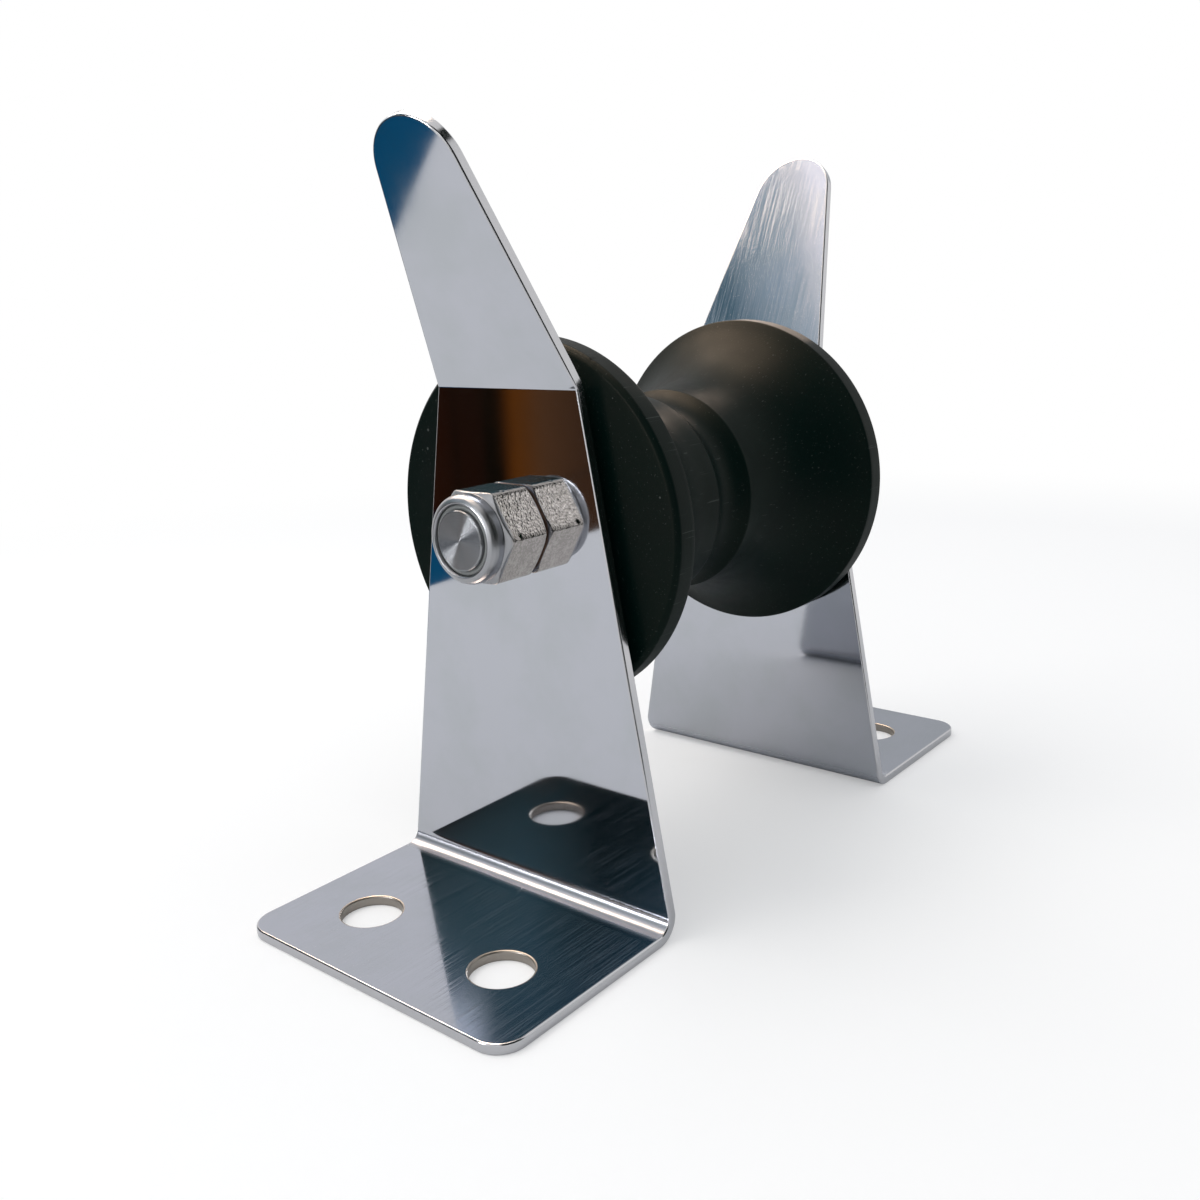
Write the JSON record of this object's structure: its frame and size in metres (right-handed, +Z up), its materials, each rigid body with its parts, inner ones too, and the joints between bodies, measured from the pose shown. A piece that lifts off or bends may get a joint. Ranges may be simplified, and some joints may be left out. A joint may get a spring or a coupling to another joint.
{
  "type": "bow roller",
  "caption": "Bow roller: a black waisted roller turning on a bolted axle between two bent polished steel brackets with outward leaning horns.",
  "frame": {"origin": "on the mounting plane under the feet, midway between the two brackets and below the axle", "axes": "+Z up from the deck, +Y to port along the axle, +X forward across the width of the brackets"},
  "size_m": [0.1, 0.251, 0.2094],
  "materials": {
    "bracket_steel": "mirror polished stainless plate with faint lengthwise brushing",
    "axle_steel": "turned stainless, bright end faces",
    "washer_steel": "plain stainless",
    "nut_steel": "cold formed stainless, slightly grainy flats and a bright collar",
    "roller_plastic": "satin black, moulded and turned, lightly dusty",
    "bush_plastic": "natural acetal",
    "insert_nylon": "grey nylon"
  },
  "bodies": {
    "frame": {"starboard_bracket": "bracket_steel", "port_bracket": "bracket_steel", "axle": "axle_steel", "starboard_washer": "washer_steel", "port_washer": "washer_steel", "starboard_nut": "nut_steel", "port_nut": "nut_steel", "starboard_insert": "insert_nylon", "port_insert": "insert_nylon"},
    "roller": {"roller": "roller_plastic", "starboard_bush": "bush_plastic", "port_bush": "bush_plastic"}
  },
  "joints": [
    {"name": "roller_spin", "type": "hinge", "parent": "frame", "child": "roller", "pos_m": [0, 0, 0.107], "axis": [0, 1, 0], "continuous": true}
  ]
}
